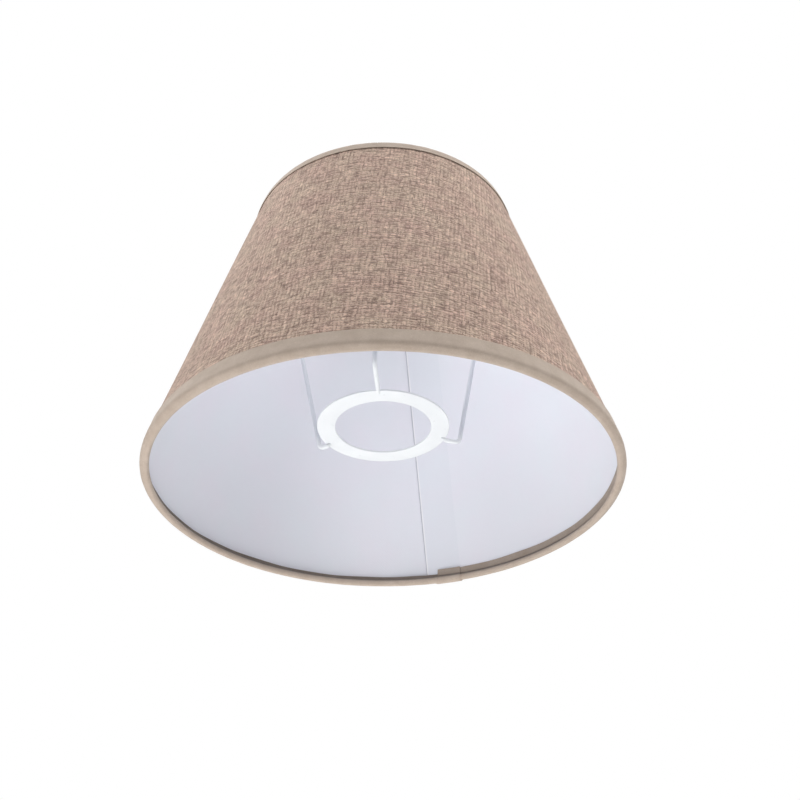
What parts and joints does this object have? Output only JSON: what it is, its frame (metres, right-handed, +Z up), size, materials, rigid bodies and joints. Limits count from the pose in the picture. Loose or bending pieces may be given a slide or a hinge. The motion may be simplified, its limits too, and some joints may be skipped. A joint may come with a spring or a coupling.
{
  "type": "lamp shade",
  "caption": "Tapered round fabric lamp shade with a translucent lining, bound edges and a washer fitter on wire arms.",
  "frame": {"origin": "on the shade's axis, in the plane that its lower rim stands on", "axes": "+Z up along the shade's axis; the wire arm with the longest foot is 4 degrees from -Y, and the seam lies 13 to 23 degrees from +Y towards +X"},
  "size_m": [0.2038, 0.2038, 0.1435],
  "materials": {
    "linen_cover": "matte woven linen look, heathered taupe",
    "cotton_binding": "matte fine plain weave, sand",
    "lining_film": "translucent white film with a faint fine grid",
    "white_enamel": "satin white powder coat",
    "wire_coating": "satin white coat, hidden in the bindings",
    "mounting_tape": "thin clear double-sided tape, yellowish",
    "dried_glue": "dried fabric glue, semi-gloss"
  },
  "bodies": {
    "root": {"lining_panel": "lining_film", "fabric_cover": "linen_cover", "seam_tape": "mounting_tape", "bottom_ring_wire": "wire_coating", "top_ring_wire": "wire_coating", "bottom_glue_bead": "dried_glue", "top_glue_bead": "dried_glue", "bottom_binding": "cotton_binding", "top_binding": "cotton_binding", "fitter_washer": "white_enamel", "fitter_arm_right": "white_enamel", "fitter_arm_left": "white_enamel", "fitter_arm_front": "white_enamel"}
  },
  "joints": []
}
